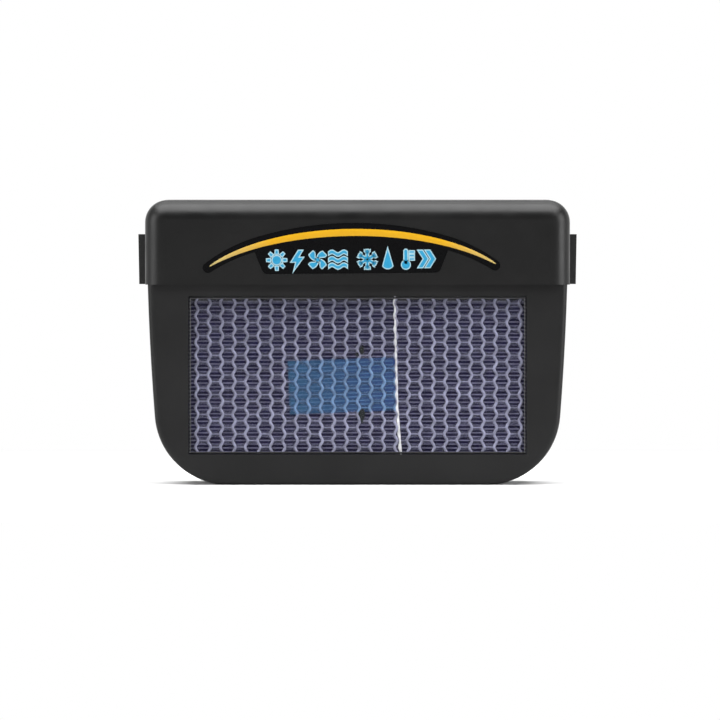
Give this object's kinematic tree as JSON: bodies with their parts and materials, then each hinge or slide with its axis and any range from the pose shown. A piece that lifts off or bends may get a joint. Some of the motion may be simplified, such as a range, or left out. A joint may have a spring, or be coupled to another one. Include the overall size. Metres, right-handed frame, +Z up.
{
  "type": "solar car-window ventilation fan",
  "caption": "Solar-powered ventilation fan that hangs over the top of a car's door glass, with a solar window outside and a motor-driven axial fan inside.",
  "frame": {"origin": "middle of the base, where both hanging bodies stand level at z = 0, centred on the overall width and depth", "axes": "+X to the right seen from the outdoor side, +Y towards the cabin side with the fan, +Z up; the solar window faces -Y"},
  "size_m": [0.1918, 0.08, 0.1242],
  "materials": {
    "case_plastic": "satin",
    "trim_plastic": "matte",
    "label_gloss": "gloss",
    "zinc_steel": "satin",
    "clear_acrylic": "gloss",
    "gasket_rubber": "matte",
    "board_laminate": "satin",
    "dark_silicon": "gloss",
    "blue_silicon": "gloss",
    "tinned_metal": "satin",
    "black_insulation": "satin",
    "red_insulation": "satin",
    "motor_plastic": "satin",
    "nickel_steel": "satin",
    "nylon_white": "satin",
    "ferrite": "matte",
    "sintered_bronze": "matte",
    "spring_copper": "satin",
    "ground_steel": "gloss",
    "lamination_steel": "matte",
    "copper_wire": "gloss",
    "impeller_plastic": "satin"
  },
  "bodies": {
    "housing": {"hood": "case_plastic", "front_cover": "case_plastic", "main_body": "case_plastic", "rear_cover": "case_plastic", "outlet_grille": "trim_plastic", "fan_guard": "trim_plastic", "strip_channel_left": "trim_plastic", "strip_channel_right": "trim_plastic", "label_plate": "label_gloss", "strip_channel_screw_1": "zinc_steel", "strip_channel_screw_2": "zinc_steel", "panel_screw_1": "zinc_steel", "panel_screw_2": "zinc_steel", "panel_screw_3": "zinc_steel", "panel_screw_4": "zinc_steel", "front_cover_screw_1": "zinc_steel", "front_cover_screw_2": "zinc_steel", "rear_cover_screw_1": "zinc_steel", "rear_cover_screw_2": "zinc_steel", "rear_cover_screw_3": "zinc_steel", "rear_cover_screw_4": "zinc_steel", "motor_bracket_screw_1": "zinc_steel", "motor_bracket_screw_2": "zinc_steel", "motor_bracket_screw_3": "zinc_steel", "motor_face_screw_1": "zinc_steel", "motor_face_screw_2": "zinc_steel", "window_lens": "clear_acrylic", "window_gasket": "gasket_rubber", "panel_board": "board_laminate", "dark_cell_1": "dark_silicon", "dark_cell_2": "dark_silicon", "blue_cell": "blue_silicon", "bus_ribbon": "tinned_metal", "cell_lead_1": "black_insulation", "cell_lead_2": "black_insulation", "solder_pad_1": "tinned_metal", "solder_pad_2": "tinned_metal", "lead_red": "red_insulation", "lead_black": "black_insulation", "motor_bracket": "motor_plastic", "motor_can": "nickel_steel", "motor_end_cap": "nylon_white", "motor_magnet_1": "ferrite", "motor_magnet_2": "ferrite", "front_bearing": "sintered_bronze", "rear_bearing": "sintered_bronze", "motor_brush_1": "spring_copper", "motor_brush_2": "spring_copper", "motor_terminal_1": "tinned_metal", "motor_terminal_2": "tinned_metal"},
    "rotor": {"motor_shaft": "ground_steel", "armature_core": "lamination_steel", "armature_coil_1": "copper_wire", "armature_coil_2": "copper_wire", "armature_coil_3": "copper_wire", "commutator": "spring_copper", "commutator_sleeve": "nylon_white", "shaft_spacer_1": "nylon_white", "shaft_spacer_2": "nylon_white", "impeller": "impeller_plastic"}
  },
  "joints": [
    {"name": "fan_spin", "type": "hinge", "parent": "housing", "child": "rotor", "pos_m": [0, 0.02, 0.0435], "axis": [0, 1, 0], "continuous": true}
  ]
}
